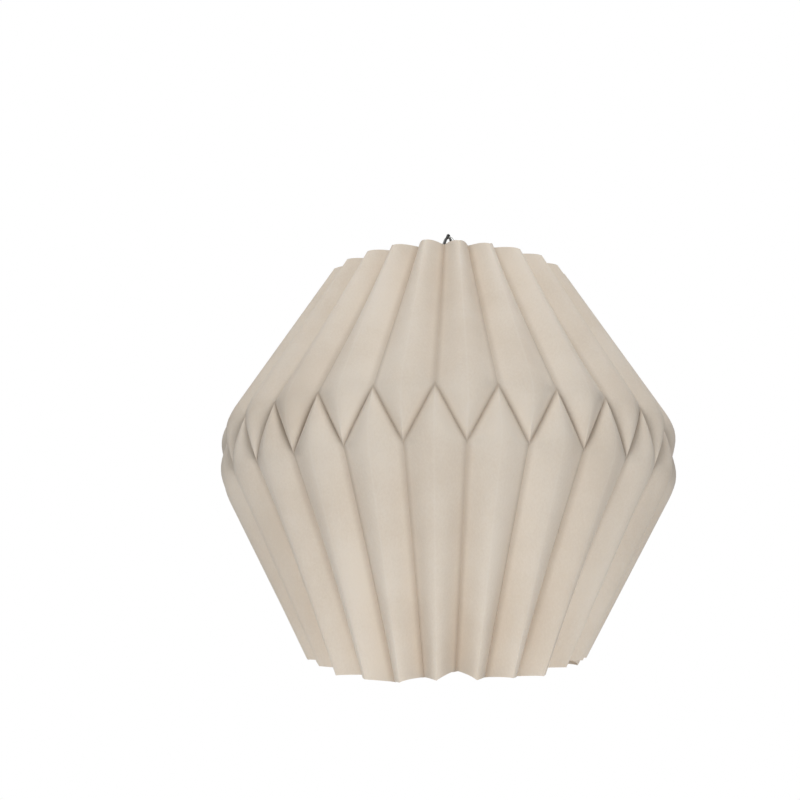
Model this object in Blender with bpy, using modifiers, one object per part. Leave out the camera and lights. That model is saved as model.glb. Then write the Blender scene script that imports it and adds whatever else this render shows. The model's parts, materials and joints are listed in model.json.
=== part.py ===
"""Pleated paper lantern with a wire hanger and a hanging battery light.

Units are metres and +Z is up.  The origin is the bearing point inside the peak of the hanger wire,
where a hook or string holds the lantern up, so the whole lantern hangs below it.
The paper is folded along PLEATS * 2 straight creases.  Crease k stands at the angle
CREASE_PHASE + k * CREASE_STEP, counted from -Y towards +X.  Above the waist the even creases are
ridges and the odd ones valleys; below the waist they swap, across one zigzag crease.
"""

import math

import bmesh
import bpy
from mathutils import Matrix, Vector

MM = 0.001
GAP = 0.3 * MM                       # air between neighbouring pieces

# --- paper shell -------------------------------------------------------------------------------
PLEATS = 24
CREASE_STEP = math.pi / PLEATS
CREASE_PHASE = math.radians(-10.7)
PLEAT_WIDTH = 20.5 * MM              # ridge to valley, measured across one flat panel
PAPER = 0.4 * MM
RIM_TO_WAIST = 125.0 * MM            # top rim down to the middle of the waist
WAIST_TO_FOOT = 136.0 * MM           # middle of the waist down to the bottom rim
WAIST_HALF = 17.3 * MM               # half the height of the zigzag
TOP_RIDGE_RADIUS = 80.0 * MM
WAIST_RIDGE_RADIUS = 150.0 * MM
FOOT_RIDGE_RADIUS = 92.0 * MM
TOP_TOOTH = 1.5 * MM                 # ridge tips stand this far past the valley ends
FOOT_TOOTH = 6.0 * MM
TOP_RIM_Z = -31.0 * MM
WAIST_Z = TOP_RIM_Z - RIM_TO_WAIST
FOOT_Z = WAIST_Z - WAIST_TO_FOOT
ROWS_PER_SLOPE = 8                   # mesh rows on each long slope
SEAM_PANEL = -10.5                   # the front sheet starts in the middle of this panel
SEAM_SLIT = 0.4 * MM
SEAM_STRIP_WIDTH = 12.0 * MM
SEAM_STRIP = 0.25 * MM
SEAM_CLEAR = 0.6 * MM                # the panels twist, so the strip keeps more than GAP

# --- rim wires and hanger ----------------------------------------------------------------------
WIRE = 0.9 * MM                      # radius of the rim and hanger wire
RIM_WIRE_INSET = 7.5 * MM            # rim wires lie this far inside the rims
TOP_RING_Z = TOP_RIM_Z - RIM_WIRE_INSET
FOOT_RING_Z = FOOT_Z + RIM_WIRE_INSET + FOOT_TOOTH
HANGER_CREASE = 10                   # the hanger reaches the ring inside this ridge
HANGER_TURN = CREASE_PHASE + HANGER_CREASE * CREASE_STEP - math.pi / 2
PEAK_BEND = 2.0 * MM                 # inside radius of the peak, where the lantern bears
PEAK_HALF_ANGLE = math.radians(24)
PEAK_HEIGHT = 15.0 * MM
KNEE_BEND = 4.0 * MM
LOOP_RADIUS = 2.2 * MM               # middle of the end loops, round the top ring
LOOP_WRAP = math.radians(262)
BEND_STEPS = 6                       # straight runs in each wire bend
LOOP_STEPS = 16

# --- light unit --------------------------------------------------------------------------------
BAIL_WIRE = 0.7 * MM
EAR_Z = -34.0 * MM
EAR_REACH = 17.0 * MM
EAR_RADIUS = 3.0 * MM
EAR_HOLE = 0.92 * MM
EAR_HOLE_DEPTH = 3.2 * MM
BAIL_LEG = EAR_REACH + GAP + BAIL_WIRE
BAIL_SHOULDER_Z = EAR_Z + 10.0 * MM
BAIL_SHOULDER_BEND = 3.0 * MM
BAIL_FOOT_BEND = 1.2 * MM
HOUSING_RADIUS = 14.0 * MM
HOUSING_WALL = 2.0 * MM
HOUSING_BORE = HOUSING_RADIUS - HOUSING_WALL
LID_RADIUS = 15.0 * MM
LID_THICK = 2.0 * MM
LID_TOP_Z = EAR_Z + 5.0 * MM
HOUSING_TOP_Z = LID_TOP_Z - LID_THICK - GAP
LID_PLUG_DEPTH = 3.0 * MM
LID_PLUG_WALL = 1.8 * MM
COIN_SLOT = (12.0 * MM, 2.0 * MM, 1.0 * MM)
CONTACT = 0.5 * MM
LINK_PLATE = (7.0 * MM, 16.0 * MM)
FOOT_PLATE = (7.0 * MM, 7.0 * MM)
CONTACT_BUMP = 2.0 * MM              # radius
SPRING_HEIGHT = 3.0 * MM
SPRING_RADIUS = 2.6 * MM
SPRING_WIRE = 0.35 * MM
SPRING_TURNS = 3
SPRING_STEPS = 12                    # straight runs in each turn
SPRING_TAPER = 0.25
CELL_RADIUS = 5.25 * MM
CELL_LENGTH = 44.5 * MM
CELL_NUB = (1.9 * MM, 0.8 * MM)      # radius and height
CELL_OFFSET = CELL_RADIUS + GAP
FLOOR_THICK = 3.0 * MM
BOARD_RADIUS = 11.4 * MM
BOARD_THICK = 1.2 * MM
BOARD_RECESS = 1.2 * MM              # the housing's foot hangs this far below the board
LEDS = 6
LED_CIRCLE = 8.0 * MM
LED_SIZE = (3.5 * MM, 2.8 * MM, 1.9 * MM)
SCREW_SHANK = 0.95 * MM
SCREW_HEAD = (1.9 * MM, 1.4 * MM)
SCREW_OFFSET = 4.5 * MM
SCREW_BITE = 2.0 * MM
SCREW_BORE = SCREW_SHANK + 0.1 * MM
SCREW_TIP = 0.4 * MM
SCREW_HEAD_TAPER = 0.6
GLOBE_RADIUS = 19.0 * MM
GLOBE_HALF = 11.0 * MM
GLOBE_WALL = 1.2 * MM
GLOBE_NECK = 5.0 * MM
GLOBE_DROP = 1.0 * MM                # the globe's widening starts this far below the housing
GLOBE_STEPS = 10
SWITCH_SIZE = (3.2 * MM, 7.0 * MM, 8.5 * MM)
SWITCH_Z = -62.0 * MM
SWITCH_TRAVEL = 2.5 * MM
SWITCH_CLEAR = 1.4 * MM              # from the housing's bore to the switch's face
KNOB_REST_Z = SWITCH_Z - SWITCH_TRAVEL / 2
KNOB_STEM = (3.0 * MM, 2.4 * MM)     # across and along the travel
KNOB_GRIP = (1.4 * MM, 5.0 * MM, 3.6 * MM)
LEAD_RADIUS = 0.5 * MM
LEAD_INSET = 3.2 * MM
LEAD_SPREAD = 2.0 * MM
LEAD_BOW = 0.8 * MM
LEAD_STRAIGHT = 0.8                  # the bow ends at this share of the lead's length
LEAD_STEPS = 8

# levels that follow from the stack of the light
CELL_TOP_Z = LID_TOP_Z - LID_THICK - GAP - CONTACT - GAP - SPRING_HEIGHT - GAP
CELL_FOOT_Z = CELL_TOP_Z - CELL_LENGTH
FLOOR_PLATE_Z = CELL_FOOT_Z - GAP - SPRING_HEIGHT - GAP
FLOOR_TOP_Z = FLOOR_PLATE_Z - CONTACT - GAP
FLOOR_FOOT_Z = FLOOR_TOP_Z - FLOOR_THICK
BOARD_TOP_Z = FLOOR_FOOT_Z - GAP
BOARD_FOOT_Z = BOARD_TOP_Z - BOARD_THICK
HOUSING_FOOT_Z = BOARD_FOOT_Z - BOARD_RECESS

ROUND = 40                           # sides of the larger turned pieces
SMALL_ROUND = 20
TINY_ROUND = 12
CUTTER_SPARE = 1.0 * MM
MERGE = 0.01 * MM

PARTS = "pleated_paper_lantern"
CUTTERS = "cutters"

FINISHES = {
    "paper": ((0.74, 0.67, 0.57), 0.85, 0.0),
    "seam_tape": ((0.80, 0.76, 0.68), 0.7, 0.0),
    "zinc_wire": ((0.50, 0.50, 0.49), 0.38, 1.0),
    "black_wire": ((0.03, 0.03, 0.03), 0.45, 0.0),
    "white_plastic": ((0.82, 0.82, 0.80), 0.45, 0.0),
    "frosted_plastic": ((0.90, 0.89, 0.85), 0.35, 0.0),
    "grey_plastic": ((0.25, 0.26, 0.27), 0.5, 0.0),
    "black_plastic": ((0.04, 0.04, 0.04), 0.4, 0.0),
    "cell_sleeve": ((0.10, 0.16, 0.30), 0.35, 0.0),
    "nickel": ((0.72, 0.70, 0.66), 0.25, 1.0),
    "board_green": ((0.05, 0.22, 0.10), 0.5, 0.0),
    "led_face": ((0.90, 0.82, 0.45), 0.3, 0.0),
    "red_lead": ((0.55, 0.04, 0.03), 0.5, 0.0),
    "black_lead": ((0.03, 0.03, 0.03), 0.5, 0.0),
}


# --- scene helpers -----------------------------------------------------------------------------

def clear_scene():
    for item in list(bpy.data.objects):
        bpy.data.objects.remove(item, do_unlink=True)


def collection(name):
    group = bpy.data.collections.new(name)
    bpy.context.scene.collection.children.link(group)
    return group


def finish(name):
    """Give the named finish, made once."""
    found = bpy.data.materials.get(name)
    if found:
        return found
    colour, roughness, metallic = FINISHES[name]
    made = bpy.data.materials.new(name)
    made.use_nodes = True
    shader = made.node_tree.nodes["Principled BSDF"]
    shader.inputs["Base Color"].default_value = (*colour, 1.0)
    shader.inputs["Roughness"].default_value = roughness
    shader.inputs["Metallic"].default_value = metallic
    return made


def level_of(item):
    """Height of an empty in the lantern's frame; none stands at the origin."""
    return item.location.z + level_of(item.parent) if item else 0.0


def piece(name, data, finish_name, parent=None, place=(0.0, 0.0, 0.0)):
    """Link a mesh or curve as one named piece; its heights count from the lantern's origin."""
    data.materials.append(finish(finish_name))
    made = bpy.data.objects.new(name, data)
    bpy.data.collections[PARTS].objects.link(made)
    made.parent = parent
    made.location = (place[0], place[1], place[2] - level_of(parent))
    return made


def empty(name, place=(0.0, 0.0, 0.0), turn=0.0, parent=None):
    """A joint's own axes; its height counts from the lantern's origin."""
    made = bpy.data.objects.new(name, None)
    bpy.data.collections[PARTS].objects.link(made)
    made.parent = parent
    made.location = (place[0], place[1], place[2] - level_of(parent))
    made.rotation_euler = (0.0, 0.0, turn)
    return made


def mesh_from(name, bm):
    data = bpy.data.meshes.new(name)
    bm.to_mesh(data)
    bm.free()
    return data


def box_mesh(name, size, centre=(0.0, 0.0, 0.0)):
    bm = bmesh.new()
    bmesh.ops.create_cube(bm, size=1.0)
    bmesh.ops.scale(bm, vec=size, verts=bm.verts)
    bmesh.ops.translate(bm, vec=centre, verts=bm.verts)
    return mesh_from(name, bm)


def cylinder_mesh(name, radius, low, high, centre=(0.0, 0.0), sides=SMALL_ROUND, turn=None):
    """A closed cylinder along Z from low to high, optionally turned as a whole."""
    bm = bmesh.new()
    bmesh.ops.create_cone(bm, cap_ends=True, segments=sides, radius1=radius, radius2=radius,
                          depth=high - low)
    bmesh.ops.translate(bm, vec=(centre[0], centre[1], (low + high) / 2), verts=bm.verts)
    if turn is not None:
        bmesh.ops.transform(bm, matrix=turn, verts=bm.verts)
    return mesh_from(name, bm)


def turned_piece(name, profile, finish_name, parent, place=(0.0, 0.0, 0.0), sides=ROUND):
    """Turn a profile of (radius, z) points round Z; it runs down the outer side."""
    bm = bmesh.new()
    verts = [bm.verts.new((radius, 0.0, z)) for radius, z in profile]
    for start, end in zip(verts, verts[1:] + verts[:1]):
        on_axis = start.co.x == 0.0 and end.co.x == 0.0
        if not on_axis:
            bm.edges.new((start, end))
    made = piece(name, mesh_from(name, bm), finish_name, parent, place)
    step = made.modifiers.new("turning", "SCREW")
    step.steps = sides
    step.render_steps = sides
    step.use_merge_vertices = True
    step.merge_threshold = MERGE
    step.use_normal_calculate = False
    step.use_smooth_shade = True
    return made


def smooth(data, angle=math.radians(35)):
    data.shade_smooth()
    data.set_sharp_from_angle(angle=angle)


def wire_curve(name, points, radius, cyclic=False):
    """A round wire through the points, with filled ends."""
    data = bpy.data.curves.new(name, "CURVE")
    data.dimensions = "3D"
    data.bevel_depth = radius
    data.bevel_resolution = 2
    data.use_fill_caps = not cyclic
    line = data.splines.new("POLY")
    line.points.add(len(points) - 1)
    for spot, point in zip(line.points, points):
        spot.co = (*point, 1.0)
    line.use_cyclic_u = cyclic
    return data


def cut(target, cutter_data, name, operation="DIFFERENCE"):
    """Cut or join the target with a hidden tool that stands in the target's own axes."""
    tool = bpy.data.objects.new(name, cutter_data)
    bpy.data.collections[CUTTERS].objects.link(tool)
    tool.parent = target
    tool.hide_render = True
    tool.display_type = "WIRE"
    step = target.modifiers.new(name, "BOOLEAN")
    step.object = tool
    step.operation = operation
    step.solver = "EXACT"


def rounded(points, radii, steps=5):
    """Replace each inner corner of a flat (a, b) polyline by an arc of its radius."""
    path = [Vector(points[0])]
    for before, corner, after, radius in zip(points, points[1:], points[2:], radii):
        before, corner, after = Vector(before), Vector(corner), Vector(after)
        into = (corner - before).normalized()
        out = (after - corner).normalized()
        turn = into.angle_signed(out)
        reach = radius * math.tan(abs(turn) / 2)
        start = corner - into * reach
        side = Vector((into.y, -into.x)) * math.copysign(1.0, turn)
        centre = start + side * radius
        for step in range(steps + 1):
            swing = -turn * step / steps
            path.append(centre + Matrix.Rotation(swing, 2) @ (start - centre))
    path.append(Vector(points[-1]))
    return path


# --- paper shell -------------------------------------------------------------------------------

def valley_radius(ridge_radius):
    """Radius of a valley one panel width away from a ridge at the same level."""
    across = ridge_radius * math.sin(CREASE_STEP)
    return ridge_radius * math.cos(CREASE_STEP) - math.sqrt(PLEAT_WIDTH ** 2 - across ** 2)


TIP_RADIUS = valley_radius(WAIST_RIDGE_RADIUS)
TIP_HIGH_Z = WAIST_Z + WAIST_HALF
TIP_LOW_Z = WAIST_Z - WAIST_HALF


def crease_line(index):
    """The (radius, z) corners of one crease, from the foot up: foot, low, zigzag, high, rim."""
    even = index % 2 == 0
    if even:
        foot = (valley_radius(FOOT_RIDGE_RADIUS), FOOT_Z + FOOT_TOOTH)
        low = (TIP_RADIUS, TIP_LOW_Z)
        zigzag = low
        high = (WAIST_RIDGE_RADIUS, TIP_HIGH_Z)
        rim = (TOP_RIDGE_RADIUS, TOP_RIM_Z)
    else:
        foot = (FOOT_RIDGE_RADIUS, FOOT_Z)
        low = (WAIST_RIDGE_RADIUS, TIP_LOW_Z)
        zigzag = (TIP_RADIUS, TIP_HIGH_Z)
        high = zigzag
        rim = (valley_radius(TOP_RIDGE_RADIUS), TOP_RIM_Z - TOP_TOOTH)
    return foot, low, zigzag, high, rim


def row_positions():
    """Row values from 0 at the foot to 4 at the rim; whole numbers are crease_line corners."""
    slope = [step / ROWS_PER_SLOPE for step in range(ROWS_PER_SLOPE)]
    return slope + [1.0, 2.0] + [3.0 + step for step in slope] + [4.0]


def on_crease(index, row):
    corners = crease_line(index)
    base = min(int(row), len(corners) - 2)
    share = row - base
    radius = corners[base][0] * (1 - share) + corners[base + 1][0] * share
    z = corners[base][1] * (1 - share) + corners[base + 1][1] * share
    angle = CREASE_PHASE + index * CREASE_STEP
    return Vector((radius * math.sin(angle), -radius * math.cos(angle), z))


def on_paper(column, row):
    """A point of the folded sheet; column counts creases and may lie inside a panel."""
    index = math.floor(column)
    share = column - index
    if share < 1e-9:
        return on_crease(index, row)
    return on_crease(index, row).lerp(on_crease(index + 1, row), share)


def folded_sheet(name, columns):
    """Fold a flat grid into the pleated surface, foot edge first, facing outwards."""
    rows = row_positions()
    bm = bmesh.new()
    bmesh.ops.create_grid(bm, x_segments=len(columns) - 1, y_segments=len(rows) - 1, size=0.5)
    for vert in bm.verts:
        column = columns[round((vert.co.x + 0.5) * (len(columns) - 1))]
        row = rows[round((vert.co.y + 0.5) * (len(rows) - 1))]
        vert.co = on_paper(column, row)
    bmesh.ops.remove_doubles(bm, verts=bm.verts, dist=MERGE)
    bm.normal_update()
    return bm


def thicken(target, thickness):
    step = target.modifiers.new("thickness", "SOLIDIFY")
    step.thickness = thickness
    step.offset = 0.0
    step.use_even_offset = True


def build_sheet(name, first_column, parent):
    """Half of the shell: a strip of paper of PLEATS panels that starts and ends in mid-panel."""
    slit = SEAM_SLIT / 2 / PLEAT_WIDTH
    start = first_column + slit
    end = first_column + PLEATS - slit
    inner = list(range(math.ceil(start), math.floor(end) + 1))
    sheet = piece(name, mesh_from(name, folded_sheet(name, [start, *inner, end])), "paper", parent)
    thicken(sheet, PAPER)


def build_seam_strip(name, column, parent):
    """The strip glued inside, behind the slit between the two sheets."""
    reach = SEAM_STRIP_WIDTH / 2 / PLEAT_WIDTH
    bm = folded_sheet(name, [column - reach, column + reach])
    inset = PAPER / 2 + SEAM_CLEAR + SEAM_STRIP / 2
    moves = [(vert, vert.normal * inset * vert.calc_shell_factor()) for vert in bm.verts]
    for vert, move in moves:
        vert.co -= move
    thicken(piece(name, mesh_from(name, bm), "seam_tape", parent), SEAM_STRIP)


# --- rim wires and hanger ----------------------------------------------------------------------

def ring_radius(valley_foot, valley_head, z):
    """Radius of a wire ring that lies GAP inside a straight valley crease at height z."""
    run = valley_head[0] - valley_foot[0]
    rise = valley_head[1] - valley_foot[1]
    crease = valley_foot[0] + run * (z - valley_foot[1]) / rise
    clear = WIRE + GAP + PAPER
    return crease - clear * math.hypot(run, rise) / abs(rise)


TOP_RING_RADIUS = ring_radius(crease_line(1)[3], crease_line(1)[4], TOP_RING_Z)
FOOT_RING_RADIUS = ring_radius(crease_line(0)[0], crease_line(0)[1], FOOT_RING_Z)


def build_ring(name, radius, z, parent):
    bpy.ops.mesh.primitive_torus_add(major_radius=radius, minor_radius=WIRE, major_segments=64,
                                     minor_segments=8, location=(0.0, 0.0, 0.0))
    made = bpy.context.object
    data = made.data
    bpy.data.objects.remove(made, do_unlink=True)
    data.name = name
    smooth(data, math.radians(60))
    piece(name, data, "zinc_wire", parent, (0.0, 0.0, z))


def hanger_half():
    """Middle line of half the hanger in its (x, z) plane, from the peak to the end loop."""
    bend = PEAK_BEND + WIRE
    centre = Vector((0.0, WIRE - bend))
    path = []
    for step in range(BEND_STEPS + 1):
        angle = math.pi / 2 - step / BEND_STEPS * (math.pi / 2 - PEAK_HALF_ANGLE)
        path.append(centre + bend * Vector((math.cos(angle), math.sin(angle))))
    slope = Vector((math.sin(PEAK_HALF_ANGLE), -math.cos(PEAK_HALF_ANGLE)))
    knee = path[-1] + slope * PEAK_HEIGHT
    ring = Vector((TOP_RING_RADIUS, TOP_RING_Z))
    towards = ring - knee
    aim = math.atan2(towards.y, towards.x) + math.asin(LOOP_RADIUS / towards.length)
    touch = ring + LOOP_RADIUS * Vector((-math.sin(aim), math.cos(aim)))
    path += rounded([path[-1], knee, touch], [KNEE_BEND])[1:-1]
    for step in range(LOOP_STEPS + 1):
        angle = aim + math.pi / 2 - LOOP_WRAP * step / LOOP_STEPS
        path.append(ring + LOOP_RADIUS * Vector((math.cos(angle), math.sin(angle))))
    return path


def build_hanger(parent):
    half = hanger_half()
    left = [(-point.x, 0.0, point.y) for point in reversed(half[1:])]
    right = [(point.x, 0.0, point.y) for point in half]
    piece("hanger_wire", wire_curve("hanger_wire", left + right, WIRE), "zinc_wire", parent)


# --- light unit --------------------------------------------------------------------------------

def build_light_bail(parent):
    """The light's own wire, over the hanger's peak and down into the ears; lies in (y, z)."""
    crown = WIRE + GAP + BAIL_WIRE
    top = Vector((0.0, WIRE))
    shoulder = Vector((BAIL_LEG, BAIL_SHOULDER_Z))
    towards = shoulder - top
    aim = math.atan2(towards.y, towards.x) + math.asin(crown / towards.length)
    touch = top + crown * Vector((-math.sin(aim), math.cos(aim)))
    path = []
    for step in range(BEND_STEPS + 1):
        angle = math.pi / 2 + aim * step / BEND_STEPS
        path.append(top + crown * Vector((math.cos(angle), math.sin(angle))))
    corners = [touch, shoulder, (BAIL_LEG, EAR_Z), (HOUSING_RADIUS + GAP, EAR_Z)]
    path += rounded(corners, [BAIL_SHOULDER_BEND, BAIL_FOOT_BEND])[1:]
    left = [(0.0, -point.x, point.y) for point in reversed(path[1:])]
    right = [(0.0, point.x, point.y) for point in path]
    piece("light_bail", wire_curve("light_bail", left + right, BAIL_WIRE), "black_wire", parent)


def build_housing(parent):
    profile = [
        (HOUSING_BORE, HOUSING_TOP_Z),
        (HOUSING_RADIUS, HOUSING_TOP_Z),
        (HOUSING_RADIUS, HOUSING_FOOT_Z),
        (HOUSING_BORE, HOUSING_FOOT_Z),
        (HOUSING_BORE, FLOOR_FOOT_Z),
        (0.0, FLOOR_FOOT_Z),
    ]
    inner = [(0.0, FLOOR_TOP_Z), (HOUSING_BORE, FLOOR_TOP_Z)]
    housing = turned_piece("light_housing", inner + profile, "white_plastic", parent)
    for side in (-1, 1):
        quarter = Matrix.Rotation(-side * math.pi / 2, 4, "X")
        place = Matrix.Translation((0.0, 0.0, EAR_Z)) @ quarter
        ear = cylinder_mesh("ear", EAR_RADIUS, HOUSING_BORE + CUTTER_SPARE, EAR_REACH, turn=place)
        cut(housing, ear, "ear_%s" % ("left" if side < 0 else "right"), "UNION")
        hole = cylinder_mesh("ear_hole", EAR_HOLE, EAR_REACH - EAR_HOLE_DEPTH,
                             EAR_REACH + CUTTER_SPARE, sides=TINY_ROUND, turn=place)
        cut(housing, hole, "ear_hole_%s" % ("left" if side < 0 else "right"))
    slot_height = KNOB_STEM[1] + SWITCH_TRAVEL + 2 * GAP
    slot = box_mesh("switch_slot", (3 * HOUSING_WALL, KNOB_STEM[0] + 2 * GAP, slot_height),
                    (HOUSING_RADIUS - HOUSING_WALL / 2, 0.0, SWITCH_Z))
    cut(housing, slot, "switch_slot")
    for side in (-1, 1):
        bore = cylinder_mesh("screw_bore", SCREW_BORE, FLOOR_FOOT_Z - CUTTER_SPARE,
                             FLOOR_FOOT_Z + SCREW_BITE + GAP, (side * SCREW_OFFSET, 0.0), TINY_ROUND)
        cut(housing, bore, "screw_bore_%s" % ("left" if side < 0 else "right"))
    for side in (-1, 1):
        pass_hole = cylinder_mesh("lead_hole", LEAD_RADIUS + GAP, FLOOR_FOOT_Z - CUTTER_SPARE,
                                  FLOOR_TOP_Z + CUTTER_SPARE, lead_place(side), TINY_ROUND)
        cut(housing, pass_hole, "lead_hole_%s" % ("left" if side < 0 else "right"))


def build_lid(parent):
    under = LID_TOP_Z - LID_THICK
    plug = HOUSING_BORE - GAP
    profile = [
        (0.0, LID_TOP_Z),
        (LID_RADIUS, LID_TOP_Z),
        (LID_RADIUS, under),
        (plug, under),
        (plug, under - LID_PLUG_DEPTH),
        (plug - LID_PLUG_WALL, under - LID_PLUG_DEPTH),
        (plug - LID_PLUG_WALL, under),
        (0.0, under),
    ]
    lid = turned_piece("battery_lid", profile, "grey_plastic", parent)
    length, width, depth = COIN_SLOT
    cut(lid, box_mesh("coin_slot", (length, width, 2 * depth), (0.0, 0.0, LID_TOP_Z)), "coin_slot")


def coil_points(centre, low, high):
    """A flat-ended contact coil that narrows a little towards its free end."""
    steps = SPRING_TURNS * SPRING_STEPS
    points = []
    for step in range(steps + 1):
        share = step / steps
        angle = 2 * math.pi * SPRING_TURNS * share
        radius = SPRING_RADIUS * (1 - SPRING_TAPER * share)
        points.append((centre[0] + radius * math.cos(angle), centre[1] + radius * math.sin(angle),
                       low + (high - low) * share))
    return points


def build_spring(name, centre, base_z, tip_z, parent):
    inward = math.copysign(SPRING_WIRE, tip_z - base_z)
    points = coil_points(centre, base_z + inward, tip_z - inward)
    piece(name, wire_curve(name, points, SPRING_WIRE), "nickel", parent)


def build_contact_plate(name, size, centre, z, bump, parent):
    """A flat contact, its face from z down to z - CONTACT, with an optional round bump."""
    data = box_mesh(name, (size[0], size[1], CONTACT), (centre[0], centre[1], z - CONTACT / 2))
    plate = piece(name, data, "nickel", parent)
    if bump is None:
        return
    spot, low, high = bump
    boss = cylinder_mesh(name + "_bump", CONTACT_BUMP, low, high, spot, TINY_ROUND)
    cut(plate, boss, name + "_bump", "UNION")


def build_cell(name, side, nub_up, parent):
    nub_radius, nub_height = CELL_NUB
    low, high = CELL_FOOT_Z, CELL_TOP_Z
    if nub_up:
        profile = [(0.0, high), (nub_radius, high), (nub_radius, high - nub_height),
                   (CELL_RADIUS, high - nub_height), (CELL_RADIUS, low), (0.0, low)]
    else:
        profile = [(0.0, high), (CELL_RADIUS, high), (CELL_RADIUS, low + nub_height),
                   (nub_radius, low + nub_height), (nub_radius, low), (0.0, low)]
    turned_piece(name, profile, "cell_sleeve", parent, (0.0, side * CELL_OFFSET, 0.0), SMALL_ROUND)


def build_batteries(light, lid):
    """Two cells in series: the lid links their tops, two floor contacts take their feet."""
    build_cell("battery_cell_left", -1, True, light)
    build_cell("battery_cell_right", 1, False, light)
    link_z = LID_TOP_Z - LID_THICK - GAP
    tip = CELL_TOP_Z + GAP
    build_contact_plate("lid_link_plate", LINK_PLATE, (0.0, 0.0), link_z,
                        ((0.0, -CELL_OFFSET), tip, link_z - CONTACT / 2), lid)
    build_spring("lid_spring", (0.0, CELL_OFFSET), link_z - CONTACT - GAP, tip, lid)
    foot_tip = CELL_FOOT_Z - GAP
    for name, side, bump in (
        ("negative_plate", -1, None),
        ("positive_plate", 1, ((0.0, CELL_OFFSET), FLOOR_PLATE_Z - CONTACT / 2, foot_tip)),
    ):
        build_contact_plate(name, FOOT_PLATE, (0.0, side * CELL_OFFSET), FLOOR_PLATE_Z, bump, light)
    build_spring("negative_spring", (0.0, -CELL_OFFSET), FLOOR_PLATE_Z + GAP, foot_tip, light)


def build_board(parent):
    board = piece("led_board", cylinder_mesh("led_board", BOARD_RADIUS, BOARD_FOOT_Z, BOARD_TOP_Z,
                                             sides=ROUND), "board_green", parent)
    for side in (-1, 1):
        label = "left" if side < 0 else "right"
        hole = cylinder_mesh("board_hole", SCREW_SHANK + GAP, BOARD_FOOT_Z - CUTTER_SPARE,
                             BOARD_TOP_Z + CUTTER_SPARE, (side * SCREW_OFFSET, 0.0), TINY_ROUND)
        cut(board, hole, "board_hole_" + label)
        build_board_screw("board_screw_" + label, side, parent)
    for number in range(LEDS):
        angle = 2 * math.pi * (number + 0.5) / LEDS
        name = "led_%d" % (number + 1)
        data = box_mesh(name, LED_SIZE, (0.0, 0.0, BOARD_FOOT_Z - GAP - LED_SIZE[2] / 2))
        place = (LED_CIRCLE * math.cos(angle), LED_CIRCLE * math.sin(angle), 0.0)
        led = piece(name, data, "led_face", parent, place)
        led.rotation_euler.z = angle


def build_board_screw(name, side, parent):
    head_radius, head_height = SCREW_HEAD
    under = BOARD_FOOT_Z - GAP
    tip = FLOOR_FOOT_Z + SCREW_BITE
    profile = [(0.0, tip), (SCREW_SHANK, tip - SCREW_TIP), (SCREW_SHANK, under),
               (head_radius, under), (head_radius, under - head_height / 2),
               (head_radius * SCREW_HEAD_TAPER, under - head_height), (0.0, under - head_height)]
    turned_piece(name, profile, "nickel", parent, (side * SCREW_OFFSET, 0.0, 0.0), TINY_ROUND)


def globe_line(radius, half, neck):
    """Half an upright ellipse from the neck radius, past its widest, down to the pole."""
    start = math.acos(neck / radius)
    line = []
    for step in range(GLOBE_STEPS + 1):
        angle = start - step / GLOBE_STEPS * (start + math.pi / 2)
        line.append((max(radius * math.cos(angle), 0.0), half * math.sin(angle)))
    line[-1] = (0.0, -half)
    return line


def build_globe(parent):
    """The frosted globe, a neck that grips the housing's foot and a flattened ball below."""
    neck_in = HOUSING_RADIUS + GAP
    neck_out = neck_in + GLOBE_WALL
    outer = globe_line(GLOBE_RADIUS, GLOBE_HALF, neck_out)
    inner = globe_line(GLOBE_RADIUS - GLOBE_WALL, GLOBE_HALF - GLOBE_WALL, neck_in)
    middle = HOUSING_FOOT_Z - GLOBE_DROP - outer[0][1]
    neck_top = HOUSING_FOOT_Z + GLOBE_NECK
    down = [(neck_out, neck_top)] + [(radius, middle + z) for radius, z in outer]
    back = [(radius, middle + z) for radius, z in reversed(inner)] + [(neck_in, neck_top)]
    turned_piece("frosted_globe", down + back, "frosted_plastic", parent)


def build_switch(light, knob_place):
    depth, width, height = SWITCH_SIZE
    face = HOUSING_BORE - SWITCH_CLEAR
    body = box_mesh("switch_body", SWITCH_SIZE, (face - depth / 2, 0.0, SWITCH_Z))
    piece("switch_body", body, "black_plastic", light)
    grip_depth, grip_width, grip_height = KNOB_GRIP
    stem_in = face + GAP
    stem_out = HOUSING_RADIUS + GAP + grip_depth / 2
    stem = box_mesh("switch_knob", (stem_out - stem_in, KNOB_STEM[0], KNOB_STEM[1]),
                    ((stem_in + stem_out) / 2 - HOUSING_RADIUS, 0.0, 0.0))
    knob = piece("switch_knob", stem, "grey_plastic", knob_place, (0.0, 0.0, KNOB_REST_Z))
    grip = box_mesh("knob_grip", (grip_depth, grip_width, grip_height),
                    (GAP + grip_depth / 2, 0.0, 0.0))
    cut(knob, grip, "knob_grip", "UNION")


def lead_place(side):
    """Where a switch lead goes through the floor."""
    return HOUSING_BORE - LEAD_INSET, side * LEAD_SPREAD


def build_leads(parent):
    """Two short leads from under the switch to the board."""
    high = SWITCH_Z - SWITCH_SIZE[2] / 2 - GAP
    low = BOARD_TOP_Z + GAP
    for side, finish_name in ((-1, "red_lead"), (1, "black_lead")):
        x, y = lead_place(side)
        points = []
        for step in range(LEAD_STEPS + 1):
            share = step / LEAD_STEPS
            z = high + (low - high) * share
            sway = LEAD_BOW * math.sin(math.pi * min(share / LEAD_STRAIGHT, 1.0))
            points.append((x, y + side * sway, z))
        piece(finish_name, wire_curve(finish_name, points, LEAD_RADIUS), finish_name, parent)


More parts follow.
